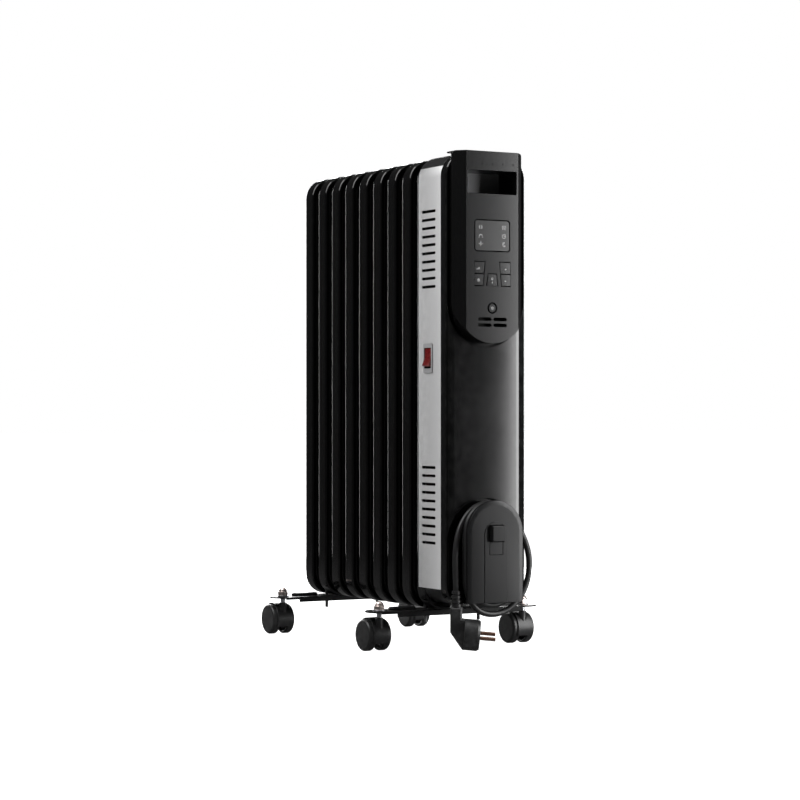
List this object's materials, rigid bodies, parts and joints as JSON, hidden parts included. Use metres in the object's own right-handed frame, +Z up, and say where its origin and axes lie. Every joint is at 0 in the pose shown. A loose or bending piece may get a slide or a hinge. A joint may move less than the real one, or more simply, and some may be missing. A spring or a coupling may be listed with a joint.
{
  "type": "oil filled radiator heater",
  "caption": "Portable oil filled column radiator on twin-wheel castors, with a front control panel, wound power cord, plug and side rocker switch.",
  "frame": {"origin": "on the floor under the middle of the heater's box", "axes": "+Z up, -Y towards the person who faces the control panel, +X to that person's right; fins are stacked along Y"},
  "size_m": [0.246, 0.4284, 0.6205],
  "materials": {
    "black_enamel": "glossy black enamel",
    "silver_panel": "satin silver powder coat",
    "black_housing": "satin black powder coat",
    "zinc": "bright zinc plate",
    "dark_chrome": "nickel plate",
    "cover_plastic": "fine-textured black",
    "panel_plastic": "glossy black",
    "window_smoke": "smoked, polished",
    "key_plastic": "satin black",
    "rocker_red": "translucent red",
    "board": "green laminate",
    "wire_red": "glossy red insulation",
    "cord_rubber": "matt black",
    "pin_brass": "plain",
    "castor_plastic": "moulded black",
    "element_steel": "drawn tube"
  },
  "bodies": {
    "heater": {"fin_1": "black_enamel", "fin_2": "black_enamel", "fin_3": "black_enamel", "fin_4": "black_enamel", "fin_5": "black_enamel", "fin_6": "black_enamel", "fin_7": "black_enamel", "fin_8": "black_enamel", "fin_9": "black_enamel", "header_collars": "black_enamel", "oil_filler_plug": "zinc", "heating_element": "element_steel", "housing_back_plate": "zinc", "housing_top_cap": "black_housing", "housing_bottom_pan": "black_housing", "side_panel_left": "silver_panel", "side_panel_right": "silver_panel", "front_cover": "cover_plastic", "power_board": "board", "tip_over_switch": "cover_plastic", "thermal_cutout": "zinc", "wire_harness": "wire_red", "control_panel": "panel_plastic", "display_window": "window_smoke", "control_board": "board", "switch_case": "cover_plastic", "cord_storage_core": "cover_plastic", "cord_storage_cover": "cover_plastic", "cord_gland": "cover_plastic", "cord_coil": "cord_rubber", "power_cord": "cord_rubber", "plug_body": "cord_rubber", "plug_pins": "pin_brass", "castor_plate_front": "black_housing", "castor_plate_rear": "black_housing", "u_bolts": "zinc", "wing_nuts": "zinc", "castor_stems": "dark_chrome", "washers": "zinc", "cap_nuts": "dark_chrome"},
    "key_left_upper": {"key_left_upper": "key_plastic"},
    "key_left_lower": {"key_left_lower": "key_plastic"},
    "key_right_upper": {"key_right_upper": "key_plastic"},
    "key_right_lower": {"key_right_lower": "key_plastic"},
    "key_middle": {"key_middle": "key_plastic"},
    "power_key": {"power_key": "key_plastic"},
    "rocker": {"rocker": "rocker_red"},
    "cord_latch": {"cord_latch": "cover_plastic"},
    "castor_front_left_fork": {"castor_front_left_fork": "castor_plastic"},
    "castor_front_left_wheel_left": {"castor_front_left_wheel_left": "castor_plastic"},
    "castor_front_left_wheel_right": {"castor_front_left_wheel_right": "castor_plastic"},
    "castor_front_right_fork": {"castor_front_right_fork": "castor_plastic"},
    "castor_front_right_wheel_left": {"castor_front_right_wheel_left": "castor_plastic"},
    "castor_front_right_wheel_right": {"castor_front_right_wheel_right": "castor_plastic"},
    "castor_rear_left_fork": {"castor_rear_left_fork": "castor_plastic"},
    "castor_rear_left_wheel_left": {"castor_rear_left_wheel_left": "castor_plastic"},
    "castor_rear_left_wheel_right": {"castor_rear_left_wheel_right": "castor_plastic"},
    "castor_rear_right_fork": {"castor_rear_right_fork": "castor_plastic"},
    "castor_rear_right_wheel_left": {"castor_rear_right_wheel_left": "castor_plastic"},
    "castor_rear_right_wheel_right": {"castor_rear_right_wheel_right": "castor_plastic"}
  },
  "joints": [
    {"name": "key_left_upper_press", "type": "slide", "parent": "heater", "child": "key_left_upper", "axis": [0, 1, 0], "range_m": [0, 0.0008], "stiffness_N_per_m": 200, "springref_m": -0.001},
    {"name": "key_left_lower_press", "type": "slide", "parent": "heater", "child": "key_left_lower", "axis": [0, 1, 0], "range_m": [0, 0.0008], "stiffness_N_per_m": 200, "springref_m": -0.001},
    {"name": "key_right_upper_press", "type": "slide", "parent": "heater", "child": "key_right_upper", "axis": [0, 1, 0], "range_m": [0, 0.0008], "stiffness_N_per_m": 200, "springref_m": -0.001},
    {"name": "key_right_lower_press", "type": "slide", "parent": "heater", "child": "key_right_lower", "axis": [0, 1, 0], "range_m": [0, 0.0008], "stiffness_N_per_m": 200, "springref_m": -0.001},
    {"name": "key_middle_press", "type": "slide", "parent": "heater", "child": "key_middle", "axis": [0, 1, 0], "range_m": [0, 0.0008], "stiffness_N_per_m": 200, "springref_m": -0.001},
    {"name": "power_key_press", "type": "slide", "parent": "heater", "child": "power_key", "axis": [0, 1, 0], "range_m": [0, 0.0008], "stiffness_N_per_m": 200, "springref_m": -0.001},
    {"name": "rocker_tilt", "type": "hinge", "parent": "heater", "child": "rocker", "pos_m": [-0.0535, -0.13449, 0.366], "axis": [0, 1, 0], "range_deg": [-24, 0]},
    {"name": "latch_flex", "type": "hinge", "parent": "heater", "child": "cord_latch", "pos_m": [0, -0.19824, 0.1233], "axis": [-1, 0, 0], "range_deg": [0, 4], "stiffness_Nm_per_rad": 0.5, "springref_deg": -1.15},
    {"name": "castor_front_left_swivel", "type": "hinge", "parent": "heater", "child": "castor_front_left_fork", "pos_m": [-0.1057, -0.09486, 0.03], "axis": [0, 0, 1], "continuous": true},
    {"name": "castor_front_left_wheel_left_spin", "type": "hinge", "parent": "castor_front_left_fork", "child": "castor_front_left_wheel_left", "pos_m": [-0.1057, -0.07986, 0.02], "axis": [1, 0, 0], "continuous": true},
    {"name": "castor_front_left_wheel_right_spin", "type": "hinge", "parent": "castor_front_left_fork", "child": "castor_front_left_wheel_right", "pos_m": [-0.1057, -0.07986, 0.02], "axis": [1, 0, 0], "continuous": true},
    {"name": "castor_front_right_swivel", "type": "hinge", "parent": "heater", "child": "castor_front_right_fork", "pos_m": [0.1057, -0.09486, 0.03], "axis": [0, 0, 1], "continuous": true},
    {"name": "castor_front_right_wheel_left_spin", "type": "hinge", "parent": "castor_front_right_fork", "child": "castor_front_right_wheel_left", "pos_m": [0.1057, -0.07986, 0.02], "axis": [1, 0, 0], "continuous": true},
    {"name": "castor_front_right_wheel_right_spin", "type": "hinge", "parent": "castor_front_right_fork", "child": "castor_front_right_wheel_right", "pos_m": [0.1057, -0.07986, 0.02], "axis": [1, 0, 0], "continuous": true},
    {"name": "castor_rear_left_swivel", "type": "hinge", "parent": "heater", "child": "castor_rear_left_fork", "pos_m": [-0.1057, 0.17289, 0.03], "axis": [0, 0, 1], "continuous": true},
    {"name": "castor_rear_left_wheel_left_spin", "type": "hinge", "parent": "castor_rear_left_fork", "child": "castor_rear_left_wheel_left", "pos_m": [-0.1057, 0.18789, 0.02], "axis": [1, 0, 0], "continuous": true},
    {"name": "castor_rear_left_wheel_right_spin", "type": "hinge", "parent": "castor_rear_left_fork", "child": "castor_rear_left_wheel_right", "pos_m": [-0.1057, 0.18789, 0.02], "axis": [1, 0, 0], "continuous": true},
    {"name": "castor_rear_right_swivel", "type": "hinge", "parent": "heater", "child": "castor_rear_right_fork", "pos_m": [0.1057, 0.17289, 0.03], "axis": [0, 0, 1], "continuous": true},
    {"name": "castor_rear_right_wheel_left_spin", "type": "hinge", "parent": "castor_rear_right_fork", "child": "castor_rear_right_wheel_left", "pos_m": [0.1057, 0.18789, 0.02], "axis": [1, 0, 0], "continuous": true},
    {"name": "castor_rear_right_wheel_right_spin", "type": "hinge", "parent": "castor_rear_right_fork", "child": "castor_rear_right_wheel_right", "pos_m": [0.1057, 0.18789, 0.02], "axis": [1, 0, 0], "continuous": true}
  ]
}
